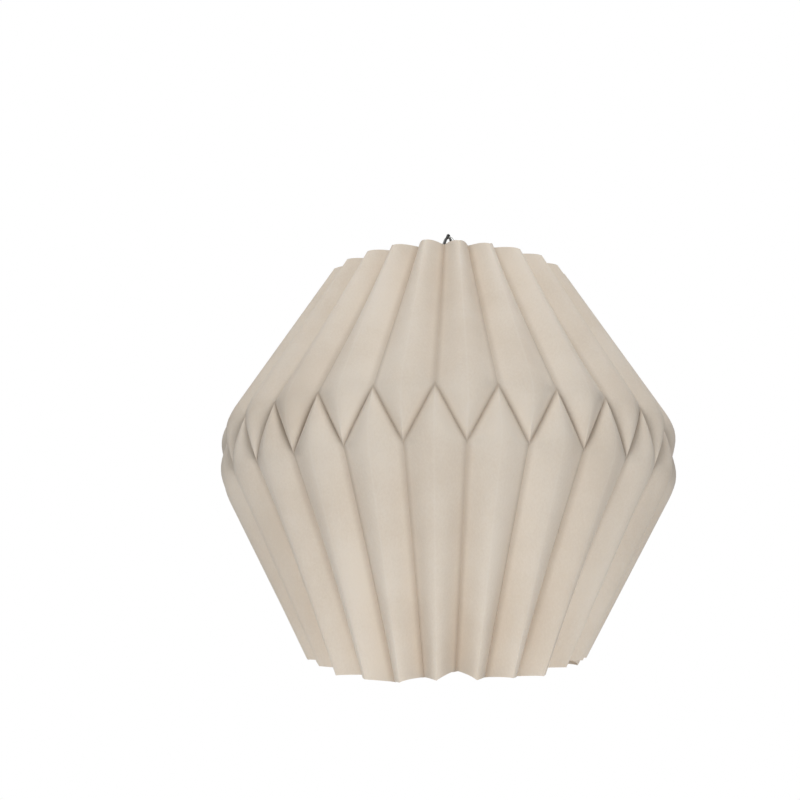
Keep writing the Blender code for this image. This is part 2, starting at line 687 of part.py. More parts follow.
def build_light(hanger_axes):
    bail_axis = empty("bail_swing_axis", (0.0, 0.0, WIRE), 0.0, hanger_axes)
    build_light_bail(bail_axis)
    light = empty("light_swing_axis", (0.0, 0.0, EAR_Z), 0.0, bail_axis)
    build_housing(light)
    lid = empty("lid_axis", (0.0, 0.0, LID_TOP_Z), 0.0, light)
    build_lid(lid)
    build_batteries(light, lid)
    build_board(light)
    build_globe(light)
    knob_place = empty("knob_place", (HOUSING_RADIUS, 0.0, KNOB_REST_Z), 0.0, light)
    build_switch(light, knob_place)
    build_leads(light)


def build_shade():
    shade = empty("shade_axes", (0.0, 0.0, TOP_RING_Z))
    build_sheet("front_paper_sheet", SEAM_PANEL, shade)
    build_sheet("rear_paper_sheet", SEAM_PANEL + PLEATS, shade)
    build_seam_strip("left_seam_strip", SEAM_PANEL, shade)
    build_seam_strip("right_seam_strip", SEAM_PANEL + PLEATS, shade)
    build_ring("top_wire_ring", TOP_RING_RADIUS, TOP_RING_Z, shade)
    build_ring("bottom_wire_ring", FOOT_RING_RADIUS, FOOT_RING_Z, shade)


def main():
    clear_scene()
    collection(PARTS)
    collection(CUTTERS)
    build_shade()
    hanger_axes = empty("hanger_axes", (0.0, 0.0, 0.0), HANGER_TURN)
    build_hanger(hanger_axes)
    build_light(hanger_axes)


main()
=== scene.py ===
"""Looks of a hanging pleated paper lantern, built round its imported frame.

The paper shell, its wires and the battery light are modelled here at the frame's own places.
Distances are in metres and +Z is up.
"""

import json
import logging
import math
from dataclasses import dataclass, field
from enum import Enum
from typing import Sequence

import bpy
import numpy as np
from mathutils import Matrix, Vector


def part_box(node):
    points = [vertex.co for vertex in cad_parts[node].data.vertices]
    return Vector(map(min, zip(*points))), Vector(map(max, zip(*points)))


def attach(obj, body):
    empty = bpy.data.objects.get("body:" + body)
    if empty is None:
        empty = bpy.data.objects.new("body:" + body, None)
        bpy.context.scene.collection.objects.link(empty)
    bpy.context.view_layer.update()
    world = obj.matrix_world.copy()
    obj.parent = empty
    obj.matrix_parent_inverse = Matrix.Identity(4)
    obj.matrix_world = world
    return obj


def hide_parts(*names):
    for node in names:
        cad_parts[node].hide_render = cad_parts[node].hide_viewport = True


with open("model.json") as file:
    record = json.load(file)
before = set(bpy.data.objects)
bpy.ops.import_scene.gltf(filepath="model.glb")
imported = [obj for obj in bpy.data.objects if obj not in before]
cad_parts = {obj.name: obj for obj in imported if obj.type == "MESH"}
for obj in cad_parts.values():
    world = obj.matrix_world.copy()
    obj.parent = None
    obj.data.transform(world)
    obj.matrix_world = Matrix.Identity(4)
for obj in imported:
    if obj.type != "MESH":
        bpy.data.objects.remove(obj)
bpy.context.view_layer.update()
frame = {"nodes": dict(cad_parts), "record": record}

MM = 0.001
BEVEL_ANGLE = math.radians(40)
CREASE_ANGLE = math.radians(28)
MOULDED_ANGLE = math.radians(35)
WIRE_ANGLE = math.radians(50)
MERGE = 0.001 * MM
SPARE = 1.0 * MM    # how far a cutting tool runs past what it cuts
Colour = tuple[float, float, float]
LOG = logging.getLogger("lantern")


class Body(Enum):
    """The rigid bodies that the pieces ride on."""

    HANGER = "hanger"
    SHADE = "shade"
    BAIL = "bail"
    LIGHT = "light"
    LID = "lid"
    KNOB = "knob"


class Slope(Enum):
    """The two slopes of the shell, each with the sense in which it leaves the waist."""

    UPPER = 1
    LOWER = -1


# --- finishes ----------------------------------------------------------------------------------

class NodeMaterial:
    """Builds one procedural material, node by node."""

    def __init__(self, name: str) -> None:
        """Start an empty node tree with a Principled shader.

        Args:
            name: The material's name.
        """
        self.material = bpy.data.materials.new(name)
        self.material.use_nodes = True
        self.tree = self.material.node_tree
        self.shader = self.tree.nodes["Principled BSDF"]
        self.coords = self.tree.nodes.new("ShaderNodeTexCoord")

    def node(self, kind: str, **values: object) -> bpy.types.Node:
        """Add a node and set its properties.

        Args:
            kind: The node's type name.
            values: Property names and their values.

        Returns:
            The new node.
        """
        made = self.tree.nodes.new(kind)
        for name, value in values.items():
            setattr(made, name, value)
        return made

    def link(self, source: bpy.types.NodeSocket, target: bpy.types.NodeSocket) -> None:
        """Join an output socket to an input socket."""
        self.tree.links.new(source, target)

    def set(self, **values: object) -> None:
        """Set plain values on the shader's own sockets; underscores stand for spaces.

        Args:
            values: Socket names and values.
        """
        for name, value in values.items():
            self.shader.inputs[name.replace("_", " ")].default_value = value

    def noise(self, scale: float, detail: float = 3.0, stretch: Sequence[float] = (1, 1, 1),
              roughness: float = 0.5) -> bpy.types.NodeSocket:
        """Noise on the piece's own coordinates.

        Args:
            scale: How many features stand in a metre.
            detail: Octaves of the noise.
            stretch: How the coordinates are scaled along X, Y and Z.
            roughness: Weight of the finer octaves.

        Returns:
            The noise's value socket.
        """
        mapping = self.node("ShaderNodeMapping")
        mapping.inputs["Scale"].default_value = tuple(stretch)
        self.link(self.coords.outputs["Object"], mapping.inputs["Vector"])
        made = self.node("ShaderNodeTexNoise")
        made.inputs["Scale"].default_value = scale
        made.inputs["Detail"].default_value = detail
        made.inputs["Roughness"].default_value = roughness
        self.link(mapping.outputs["Vector"], made.inputs["Vector"])
        return made.outputs["Fac"]

    def fade(self, value: bpy.types.NodeSocket, low: float, high: float, start: float = 0.0,
             end: float = 1.0, smooth: bool = True) -> bpy.types.NodeSocket:
        """Map a value range onto another, clamped.

        Args:
            value: The socket to map.
            low: Input that gives start.
            high: Input that gives end.
            start: Output at low.
            end: Output at high.
            smooth: Whether the ends ease in and out.

        Returns:
            The mapped value socket.
        """
        made = self.node("ShaderNodeMapRange")
        made.interpolation_type = "SMOOTHSTEP" if smooth else "LINEAR"
        made.clamp = True
        self.link(value, made.inputs["Value"])
        for name, number in (("From Min", low), ("From Max", high), ("To Min", start), ("To Max", end)):
            made.inputs[name].default_value = number
        return made.outputs["Result"]

    def math(self, operation: str, first: object, second: object) -> bpy.types.NodeSocket:
        """Join two values, each a socket or a number, by a math operation.

        Args:
            operation: The math node's operation.
            first: A socket or a number.
            second: A socket or a number.

        Returns:
            The result socket.
        """
        made = self.node("ShaderNodeMath", operation=operation)
        for slot, value in zip(made.inputs, (first, second)):
            if isinstance(value, bpy.types.NodeSocket):
                self.link(value, slot)
            else:
                slot.default_value = value
        return made.outputs[0]

    def blend(self, factor: bpy.types.NodeSocket, first: object, second: object) -> bpy.types.NodeSocket:
        """Mix two colours, each a socket or an RGB triple.

        Args:
            factor: 0 gives the first, 1 the second.
            first: A colour socket or triple.
            second: A colour socket or triple.

        Returns:
            The mixed colour socket.
        """
        made = self.node("ShaderNodeMix", data_type="RGBA")
        self.link(factor, made.inputs["Factor"])
        for name, value in (("A", first), ("B", second)):
            slot = next(s for s in made.inputs if s.name == name and s.type == "RGBA")
            if isinstance(value, bpy.types.NodeSocket):
                self.link(value, slot)
            else:
                slot.default_value = (*value, 1.0)
        return next(s for s in made.outputs if s.type == "RGBA")

    def bump(self, height: bpy.types.NodeSocket, distance: float, strength: float = 1.0,
             below: bpy.types.NodeSocket = None) -> bpy.types.NodeSocket:
        """Add a bump from a height value.

        Args:
            height: The height socket.
            distance: Height in metres at value 1.
            strength: How strong the bump is.
            below: A normal to build on.

        Returns:
            The bumped normal socket.
        """
        made = self.node("ShaderNodeBump")
        made.inputs["Distance"].default_value = distance
        made.inputs["Strength"].default_value = strength
        self.link(height, made.inputs["Height"])
        if below is not None:
            self.link(below, made.inputs["Normal"])
        return made.outputs["Normal"]


@dataclass(frozen=True)
class PaperFinish:
    """Cream pleating paper: mottled pulp and fine fibre, with painted shade along its valleys and its
    zigzag crease and a painted highlight along its ridges.
    """

    name: str = "pleating_paper"
    pale: Colour = (0.79, 0.705, 0.605)
    warm: Colour = (0.72, 0.625, 0.52)
    # valley is the colour of the painted shade in the valleys and along the zigzag crease; ridge is the
    # colour of the painted highlight along the ridges
    valley: Colour = (0.40, 0.33, 0.26)
    ridge: Colour = (0.86, 0.80, 0.72)
    cloud_scale: float = 16.0
    pulp_scale: float = 900.0
    fibre_scale: float = 420.0
    buckle_scale: float = 55.0
    fibre_height: float = 0.05 * MM
    buckle_height: float = 0.5 * MM
    light_depth: float = 1.5 * MM
    # reach in millimetres and weight of the painted valley shade, the painted zigzag shade and the painted
    # ridge highlight
    valley_line: tuple[float, float] = (4.2, 0.40)
    waist_shade_line: tuple[float, float] = (1.5, 0.42)
    ridge_line: tuple[float, float] = (1.2, 0.12)

    def build(self) -> bpy.types.Material:
        """Make the paper, which reads the folds' distances in millimetres from the mesh's attributes to
        paint shade near its valleys and zigzag crease and a highlight near its ridges.
        """
        paper = NodeMaterial(self.name)
        paper.set(Subsurface_Weight=0.12, Subsurface_Scale=self.light_depth,
                  Subsurface_Radius=(1.0, 0.8, 0.6), Sheen_Weight=0.08, Sheen_Roughness=0.6,
                  Specular_IOR_Level=0.25)
        cloud = paper.noise(self.cloud_scale, 4.0)
        pulp = paper.noise(self.pulp_scale, 3.0, (1, 1, 0.6))
        fibre = paper.noise(self.fibre_scale, 5.0, (1.0, 1.0, 3.5), 0.7)
        mottled = paper.math("ADD", paper.math("MULTIPLY", cloud, 0.75), paper.math("MULTIPLY", pulp, 0.25))
        colour = paper.blend(paper.fade(mottled, 0.35, 0.68), self.pale, self.warm)
        # paint shade near the valleys and the zigzag crease, and a highlight near the ridges
        for attribute, painted_light_tint, (reach, weight) in (
            ("valley_gap", self.valley, self.valley_line),
            ("waist_gap", self.valley, self.waist_shade_line),
            ("ridge_gap", self.ridge, self.ridge_line),
        ):
            gap = paper.node("ShaderNodeAttribute", attribute_name=attribute)
            near = paper.fade(gap.outputs["Fac"], 0.1, reach, weight, 0.0)
            colour = paper.blend(near, colour, painted_light_tint)
        paper.link(colour, paper.shader.inputs["Base Color"])
        paper.link(paper.fade(pulp, 0.3, 0.7, 0.72, 0.86), paper.shader.inputs["Roughness"])
        normal = paper.bump(fibre, self.fibre_height, 0.5)
        normal = paper.bump(paper.noise(self.buckle_scale, 3.0), self.buckle_height, 0.35, normal)
        paper.link(normal, paper.shader.inputs["Normal"])
        return paper.material


@dataclass(frozen=True)
class TapeFinish:
    """Gummed paper strip: paler and smoother than the shell, with a faint glue sheen."""

    name: str = "gummed_strip"
    pale: Colour = (0.84, 0.80, 0.72)
    dark: Colour = (0.74, 0.69, 0.60)
    fibre_height: float = 0.04 * MM

    def build(self) -> bpy.types.Material:
        """Make the strip's material."""
        tape = NodeMaterial(self.name)
        mottled = tape.fade(tape.noise(40.0, 4.0), 0.35, 0.65)
        tape.link(tape.blend(mottled, self.pale, self.dark), tape.shader.inputs["Base Color"])
        tape.link(tape.fade(tape.noise(120.0), 0.3, 0.7, 0.45, 0.7), tape.shader.inputs["Roughness"])
        fibre = tape.bump(tape.noise(600.0, 4.0), self.fibre_height, 0.5)
        tape.link(fibre, tape.shader.inputs["Normal"])
        return tape.material


@dataclass(frozen=True)
class MetalFinish:
    """Drawn or plated metal with fine lines, spots of dullness and a little tarnish."""

    name: str
    bright: Colour
    dull: Colour
    roughness: float
    line_height: float = 0.02 * MM

    def build(self) -> bpy.types.Material:
        """Make the metal."""
        metal = NodeMaterial(self.name)
        metal.set(Metallic=1.0)
        spots = metal.noise(260.0, 5.0)
        lines = metal.noise(2500.0, 2.0, (1, 1, 0.15))
        metal.link(metal.blend(metal.fade(spots, 0.42, 0.72), self.bright, self.dull),
                   metal.shader.inputs["Base Color"])
        metal.link(metal.fade(spots, 0.3, 0.75, self.roughness, self.roughness + 0.25),
                   metal.shader.inputs["Roughness"])
        metal.link(metal.bump(lines, self.line_height, 0.4), metal.shader.inputs["Normal"])
        return metal.material


@dataclass(frozen=True)
class PlasticFinish:
    """Moulded plastic with a fine spark texture, slight colour drift and rubbed patches."""

    name: str
    colour: Colour
    shade: Colour
    roughness: float
    grain: float = 1800.0
    depth: float = 0.03 * MM
    milky: float = 0.0
    light_depth: float = 3.0 * MM

    def build(self) -> bpy.types.Material:
        """Make the plastic."""
        plastic = NodeMaterial(self.name)
        if self.milky > 0.0:
            plastic.set(Subsurface_Weight=self.milky, Subsurface_Scale=self.light_depth,
                        Subsurface_Radius=(1.0, 0.9, 0.8))
        drift = plastic.noise(35.0, 3.0)
        plastic.link(plastic.blend(plastic.fade(drift, 0.35, 0.7), self.colour, self.shade),
                     plastic.shader.inputs["Base Color"])
        plastic.link(plastic.fade(plastic.noise(90.0, 4.0), 0.35, 0.7, self.roughness,
                                  self.roughness + 0.15), plastic.shader.inputs["Roughness"])
        plastic.link(plastic.bump(plastic.noise(self.grain, 2.0), self.depth, 0.5),
                     plastic.shader.inputs["Normal"])
        return plastic.material


class Finishes:
    """Every finish of the lantern, made on first use."""

    RECIPES = {
        "paper": PaperFinish(),
        "seam_tape": TapeFinish(),
        "zinc_wire": MetalFinish("zinc_plated_wire", (0.55, 0.55, 0.54), (0.36, 0.36, 0.35), 0.30),
        "black_wire": PlasticFinish("black_coated_wire", (0.018, 0.018, 0.019), (0.04, 0.04, 0.04), 0.38),
        "white_plastic": PlasticFinish("white_moulding", (0.80, 0.80, 0.77), (0.74, 0.73, 0.69), 0.42),
        "frosted_plastic": PlasticFinish("frosted_globe_plastic", (0.88, 0.87, 0.82), (0.84, 0.82, 0.76),
                                         0.32, 2600.0, 0.02 * MM, 0.35),
        "grey_plastic": PlasticFinish("grey_moulding", (0.22, 0.23, 0.24), (0.17, 0.18, 0.19), 0.48),
        "black_plastic": PlasticFinish("black_moulding", (0.03, 0.03, 0.03), (0.05, 0.05, 0.05), 0.42),
        "cell_sleeve": PlasticFinish("cell_sleeve", (0.08, 0.14, 0.30), (0.05, 0.09, 0.20), 0.28),
        "nickel": MetalFinish("nickel_plate", (0.75, 0.72, 0.66), (0.52, 0.49, 0.44), 0.20),
        "board_green": PlasticFinish("solder_mask", (0.03, 0.20, 0.08), (0.02, 0.13, 0.05), 0.30),
        "led_face": PlasticFinish("phosphor_face", (0.92, 0.80, 0.32), (0.85, 0.70, 0.22), 0.25),
        "red_lead": PlasticFinish("red_insulation", (0.50, 0.03, 0.02), (0.38, 0.02, 0.02), 0.40),
        "black_lead": PlasticFinish("black_insulation", (0.02, 0.02, 0.02), (0.04, 0.04, 0.04), 0.40),
    }

    def __init__(self) -> None:
        """Start with nothing made."""
        self.made: dict[str, bpy.types.Material] = {}

    def get(self, slot: str) -> bpy.types.Material:
        """Give the material of a record slot.

        Args:
            slot: The slot's name.

        Returns:
            The material.
        """
        if slot not in self.made:
            self.made[slot] = self.RECIPES[slot].build()
        return self.made[slot]


FINISHES = Finishes()


# --- modelling helpers -------------------------------------------------------------------------

def deselect() -> None:
    """Leave nothing selected and nothing active in edit mode."""
    if bpy.context.mode != "OBJECT":
        bpy.ops.object.mode_set(mode="OBJECT")
    bpy.ops.object.select_all(action="DESELECT")


def select_only(piece: bpy.types.Object) -> None:
    """Select one object and make it active."""
    deselect()
    piece.select_set(True)
    bpy.context.view_layer.objects.active = piece


def dress(piece: bpy.types.Object, name: str, slot: str, body: Body, stands_for: Sequence[str]) -> None:
    """Name a finished piece, give it its finish and put it on its body.

    Args:
        piece: The finished object.
        name: The piece's name.
        slot: The record slot of its finish.
        body: The body it rides on.
        stands_for: The frame nodes that it replaces.
    """
    piece.name = name
    piece.data.name = name
    piece.data.materials.clear()
    piece.data.materials.append(FINISHES.get(slot))
    if stands_for:
        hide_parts(*stands_for)
    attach(piece, body.value)
    LOG.info("%s: %d faces on %s", name, len(piece.data.polygons), body.value)


def apply_modifier(piece: bpy.types.Object, kind: str, **values: object) -> None:
    """Add a modifier with the given settings and apply it.

    Args:
        piece: The object.
        kind: The modifier's type.
        values: Its settings.
    """
    select_only(piece)
    step = piece.modifiers.new(kind.lower(), kind)
    for name, value in values.items():
        setattr(step, name, value)
    bpy.ops.object.modifier_apply(modifier=step.name)


def smooth_by_angle(piece: bpy.types.Object, angle: float) -> None:
    """Shade a mesh smooth, apart from edges sharper than the angle."""
    select_only(piece)
    bpy.ops.object.shade_smooth_by_angle(angle=angle, keep_sharp_edges=True)


# --- paper shell -------------------------------------------------------------------------------

@dataclass(frozen=True)
class Rim:
    """One rim of the shell, with the sizes of the slope that leads to it."""

    label: str
    level: float
    radius: float
    tooth: float
    rows: int


def around(radius: object, turn: np.ndarray) -> np.ndarray:
    """The X and Y, as two rows, of points at a radius and an angle from -Y towards +X."""
    return np.stack([radius * np.sin(turn), -radius * np.cos(turn)])


@dataclass
class PaperShell:
    """The folded shell: two half sheets, each a grid folded along the creases.

    Crease k stands at the angle phase + k * step from -Y towards +X.  A slope's ridges are the even
    creases above the waist and the odd ones below it.  A tooth is how far the valleys end short of the
    ridges, and the arch, notch, sag, wave, lift and shift bend the rims out of level, as a hand-folded
    shell hangs.  The lobe, ridge, corner and tip values round the panels between their creases, and each
    drift is the spread of one irregularity from crease to crease.
    """

    pleats: int = 24
    phase: float = math.radians(-10.7)
    panel: float = 20.5 * MM
    paper: float = 0.4 * MM
    rim_to_waist: float = 125.0 * MM
    waist_half: float = 17.3 * MM
    waist_radius: float = 150.0 * MM
    waist_fullness: float = 1.2 * MM
    top_radius: float = 80.0 * MM
    foot_radius: float = 89.5 * MM
    top_tooth: float = -2.5 * MM
    top_arch: float = 2.5 * MM
    foot_tooth: float = 2.0 * MM
    front_notch: float = 5.0 * MM
    notch_spread: float = math.radians(13)
    foot_sag: float = 21.0 * MM
    foot_far_sag: float = 1.5 * MM
    foot_wave: float = 2.2 * MM
    foot_lift: float = 5.0 * MM
    foot_shift: float = -1.8 * MM
    seam_panel: float = -10.5
    slit: float = 0.25 * MM
    across: int = 10
    rows: int = 40
    lobe_power: tuple[float, float] = (1.0, 0.85)
    ridge_softness: float = 0.92
    corner_round: float = 11.0 * MM
    corner_drop: float = 1.0 * MM
    tip_fullness: float = 1.8
    strip_width: float = 12.0 * MM
    strip: float = 0.25 * MM
    strip_columns: int = 6
    strip_reach: float = 0.985
    glue: float = 0.05 * MM
    seed: int = 11
    turn_drift: float = math.radians(0.35)
    reach_drift: tuple[float, float] = (0.7 * MM, 0.8 * MM)
    height_drift: tuple[float, float] = (0.45 * MM, 0.8 * MM)
    swell_drift: float = 0.07

    def __post_init__(self) -> None:
        """Take the levels from the frame and draw each crease's small irregularities."""
        low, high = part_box("front_paper_sheet")
        rim_z = high[2] - self.paper / 4
        foot_z = low[2] + self.paper / 4
        self.waist_z = rim_z - self.rim_to_waist
        self.rims = {
            Slope.UPPER: Rim("top", rim_z, self.top_radius, self.top_tooth, self.rows),
            Slope.LOWER: Rim("foot", foot_z, self.foot_radius, self.foot_tooth, self.rows),
        }
        self.step = math.pi / self.pleats
        self.tip_radius = self.valley_radius(self.waist_radius)
        creases = 2 * self.pleats
        dice = np.random.default_rng(self.seed)
        self.drifts = {
            "top_turn": dice.normal(0.0, self.turn_drift, creases),
            "foot_turn": dice.normal(0.0, self.turn_drift, creases),
            "top_reach": dice.normal(0.0, self.reach_drift[0], creases),
            "foot_reach": dice.normal(0.0, self.reach_drift[1], creases),
            "top_height": dice.normal(0.0, self.height_drift[0], creases),
            "foot_height": dice.normal(0.0, self.height_drift[1], creases),
            "swell": dice.normal(1.0, self.swell_drift, creases),
        }

    def valley_radius(self, ridge_radius: float) -> float:
        """Radius of a valley one panel away from a ridge of the given radius."""
        half = ridge_radius * math.sin(self.step)
        return ridge_radius * math.cos(self.step) - math.sqrt(self.panel ** 2 - half ** 2)

    def drift(self, name: str, crease: np.ndarray) -> np.ndarray:
        """A crease's own irregularity, the same for a crease and its wrapped number."""
        return self.drifts[name][np.mod(crease, 2 * self.pleats).astype(int)]

    def angle(self, crease: np.ndarray) -> np.ndarray:
        """The angle of a crease from -Y towards +X."""
        return self.phase + crease * self.step

    def start_level(self, slope: Slope) -> float:
        """The height at which a slope's straight part leaves the waist."""
        return self.waist_z + slope.value * self.waist_half

    def rim_rise(self, crease: np.ndarray, tooth: float, slope: Slope) -> np.ndarray:
        """How far from the start of its slope the rim stands at each crease.

        Args:
            crease: The creases' numbers.
            tooth: How far these creases end short of the plain rim.
            slope: Which rim.

        Returns:
            The distances along Z.
        """
        rim = self.rims[slope]
        turn = self.angle(crease)
        rise = abs(rim.level - self.start_level(slope)) - tooth
        rise = rise + self.drift(rim.label + "_height", crease)
        if slope is Slope.UPPER:
            return rise + self.top_arch * np.cos(turn) ** 2
        ahead = np.cos(turn) > 0.0
        if tooth > 0.0:
            aside = np.where(ahead, np.sin(turn), 1.0) / self.notch_spread
            rise = rise - self.front_notch * np.exp(-aside ** 2)
        belly = 1.0 - np.sin(turn) ** 4
        wave = self.foot_wave * np.maximum(np.sin(turn), 0.0) * np.abs(np.cos(turn)) * 2
        bow = np.where(ahead, self.foot_sag * belly - wave, self.foot_far_sag * belly + wave)
        return rise - self.foot_lift + bow

    def ridge_line(self, crease: np.ndarray, level: np.ndarray, top: np.ndarray, rim: Rim) -> np.ndarray:
        """Radius of the ridges: tucked in at their tips, eased round the waist, straight to the rim.

        Args:
            crease: The ridges' numbers.
            level: Distance past the start of the slope.
            top: The level of the rim at each ridge.
            rim: The rim that they lead to.

        Returns:
            The radii.
        """
        widest = self.waist_radius + self.waist_fullness
        past = level + self.corner_drop
        lean = (rim.radius + self.drift(rim.label + "_reach", crease) - widest) / (top + self.corner_drop)
        straight = widest + lean * np.maximum(past, 0.0)
        eased = widest + lean * (past + self.corner_round) ** 2 / (4 * self.corner_round)
        radius = np.where(np.abs(past) < self.corner_round, eased, straight)
        return radius - (widest - self.tip_radius) * self.sink(level) ** self.tip_fullness

    def valley_line(self, crease: np.ndarray, level: np.ndarray, top: np.ndarray, rim: Rim) -> np.ndarray:
        """Radius of the valleys, straight from the waist's tips to the rim.

        Args:
            crease: The valleys' numbers.
            level: Distance past the start of the slope.
            top: The level of the rim at each valley.
            rim: The rim that they lead to.

        Returns:
            The radii.
        """
        end = self.valley_radius(rim.radius) + self.drift(rim.label + "_reach", crease)
        return self.tip_radius + (end - self.tip_radius) * np.clip(level / top, 0.0, None)

    def sink(self, level: np.ndarray) -> np.ndarray:
        """0 where a slope starts, to 1 at the tips of its ridges on the zigzag crease."""
        return np.clip(-level / (2 * self.waist_half), 0.0, 1.0)

    def fold(self, column: np.ndarray, rise: np.ndarray, slope: Slope) -> tuple[np.ndarray, np.ndarray]:
        """Place points of the flat sheet on the folded shell.

        Args:
            column: Position across the sheet, counted in creases.
            rise: 0 on the zigzag crease to 1 on the rim of this slope.
            slope: Which slope the points are on.

        Returns:
            The points, and their distances in millimetres to the nearest valley, ridge and zigzag.
        """
        rim = self.rims[slope]
        base = np.floor(column + 1e-9)
        share = column - base
        base_is_ridge = (np.mod(base, 2) == 0) == (slope is Slope.UPPER)
        ridge = np.where(base_is_ridge, base, base + 1)
        valley = np.where(base_is_ridge, base + 1, base)
        towards = np.where(base_is_ridge, 1.0 - share, share)

        # levels run from the zigzag crease, lowest at a ridge's tip, to the rim
        tall = 2 * self.waist_half
        ridge_top = self.rim_rise(ridge, 0.0, slope)
        valley_top = self.rim_rise(valley, rim.tooth, slope)
        crease_level = -tall * towards
        top_level = valley_top + (ridge_top - valley_top) * towards
        level = crease_level + (top_level - crease_level) * rise
        climb = np.clip(level / ridge_top, 0.0, None)
        sink = self.sink(level)

        # the ridge and the valley (or the zigzag) at this level, each drifting towards the rim
        ridge_turn = self.angle(ridge) + self.drift(rim.label + "_turn", ridge) * climb
        valley_turn = self.angle(valley) + self.drift(rim.label + "_turn", valley) * climb
        ridge_spot = around(self.ridge_line(ridge, level, ridge_top, rim), ridge_turn)
        valley_spot = around(self.valley_line(valley, level, valley_top, rim), valley_turn)
        valley_spot = valley_spot + (around(self.tip_radius, self.angle(ridge)) - valley_spot) * sink
        reach = np.where(sink < 1.0, (towards - sink) / np.maximum(1.0 - sink, 1e-6), 1.0)
        reach = np.clip(reach, 0.0, 1.0)

        # each lobe is full across its ridge and sharp at its valleys
        chord = ridge_spot - valley_spot
        length = np.hypot(chord[0], chord[1])
        out = around(1.0, ridge_turn)
        depth = (chord * out).sum(axis=0)
        power = self.lobe_power[0] + (self.lobe_power[1] - self.lobe_power[0]) * np.clip(climb, 0.0, 1.0)
        full = np.sin(math.pi / 2 * reach) ** (power / self.drift("swell", ridge))
        full = reach + (full - reach) * self.ridge_softness
        spot = valley_spot + (chord - depth * out) * reach + depth * out * full
        if slope is Slope.LOWER:
            spot[0] += self.foot_shift * climb
        above_zigzag = (level - crease_level) * math.cos(math.atan2(tall, self.panel))
        gaps = np.stack([reach * length, (1.0 - reach) * length, above_zigzag]) / MM
        return np.column_stack([spot[0], spot[1], self.start_level(slope) + slope.value * level]), gaps

    def grid(self, columns: int) -> tuple[bpy.types.Object, np.ndarray, np.ndarray]:
        """Add a flat grid that has the shell's rows.

        Args:
            columns: How many columns it has.

        Returns:
            The grid, and each vertex's place across it, from 0 to 1, and row, counted from the zigzag.
        """
        rows = 2 * self.rows
        deselect()
        bpy.ops.mesh.primitive_grid_add(x_subdivisions=columns, y_subdivisions=rows, size=1.0)
        made = bpy.context.object
        flat = np.empty(len(made.data.vertices) * 3, dtype=np.float32)
        made.data.vertices.foreach_get("co", flat)
        flat = flat.reshape(-1, 3).astype(float) + 0.5
        return made, np.rint(flat[:, 0] * columns) / columns, np.rint(flat[:, 1] * rows) - self.rows

    def fold_grid(self, made: bpy.types.Object, column: np.ndarray, row: np.ndarray,
                  reach: float = 1.0) -> tuple[np.ndarray, np.ndarray]:
        """Fold a flat grid onto the shell.

        Args:
            made: The grid.
            column: Each vertex's column on the shell.
            row: Each vertex's row, counted from the zigzag.
            reach: How much of each slope it covers.

        Returns:
            The vertices' places, and their distances to the folds.
        """
        points = np.empty((len(column), 3))
        gaps = np.empty((3, len(column)))
        for slope, rim in self.rims.items():
            here = (row >= 0) == (slope is Slope.UPPER)
            rise = np.abs(row[here]) / rim.rows * reach
            points[here], gaps[:, here] = self.fold(column[here], rise, slope)
        made.data.vertices.foreach_set("co", points.ravel())
        made.data.update()
        return points, gaps

    def finish_sheet(self, made: bpy.types.Object, thickness: float) -> None:
        """Give a folded grid its thickness, half to each side, and keep its creases sharp."""
        apply_modifier(made, "SOLIDIFY", thickness=thickness, offset=0.0, use_even_offset=True)
        smooth_by_angle(made, CREASE_ANGLE)

    def build_sheet(self, name: str, first: float) -> None:
        """Fold one half sheet and thicken it.

        Args:
            name: The sheet's name, which is also its frame node's.
            first: The column at which it starts.
        """
        sheet, across, row = self.grid(self.pleats * self.across)
        edge = self.slit / 2 / self.panel
        column = np.clip(self.pleats * across, edge, self.pleats - edge) + first
        gaps = self.fold_grid(sheet, column, row)[1]
        for attribute, values in zip(("valley_gap", "ridge_gap", "waist_gap"), gaps):
            made = sheet.data.attributes.new(attribute, "FLOAT", "POINT")
            made.data.foreach_set("value", values.astype(np.float32))
        self.finish_sheet(sheet, self.paper)
        dress(sheet, name + "_folded", "paper", Body.SHADE, [name])

    def build_strip(self, name: str, seam: float) -> None:
        """Glue one strip behind a slit.

        Args:
            name: The strip's name, which is also its frame node's.
            seam: The column of the slit.
        """
        strip, across, row = self.grid(self.strip_columns)
        column = seam + self.strip_width / self.panel * (across - 0.5)
        points = self.fold_grid(strip, column, row, self.strip_reach)[0]
        normals = np.empty(points.size, dtype=np.float32)
        strip.data.vertices.foreach_get("normal", normals)
        inset = self.paper / 2 + self.strip / 2 + self.glue
        strip.data.vertices.foreach_set("co", (points - inset * normals.reshape(-1, 3)).ravel())
        strip.data.update()
        self.finish_sheet(strip, self.strip)
        dress(strip, name + "_glued", "seam_tape", Body.SHADE, [name])

    def valley_at(self, level: float, reach: float = 3.0 * MM) -> float:
        """The smallest valley radius of the shell near a height.

        Args:
            level: The height in the frame.
            reach: How far above and below it counts as near.

        Returns:
            The radius in metres.
        """
        slope = Slope.UPPER if level > self.waist_z else Slope.LOWER
        creases = np.arange(2 * self.pleats, dtype=float)
        valleys = creases[np.mod(creases, 2) == (1 if slope is Slope.UPPER else 0)]
        smallest = self.waist_radius
        for rise in np.linspace(0.0, 1.0, self.rows + 1):
            points = self.fold(valleys, np.full(len(valleys), rise), slope)[0]
            near = np.abs(points[:, 2] - level) < reach
            if near.any():
                smallest = min(smallest, float(np.hypot(points[near, 0], points[near, 1]).min()))
        return smallest

    def build(self) -> None:
        """Build both half sheets and their glued strips."""
        self.build_sheet("front_paper_sheet", self.seam_panel)
        self.build_sheet("rear_paper_sheet", self.seam_panel + self.pleats)
        self.build_strip("left_seam_strip", self.seam_panel)
        self.build_strip("right_seam_strip", self.seam_panel + self.pleats)


# --- wires -------------------------------------------------------------------------------------

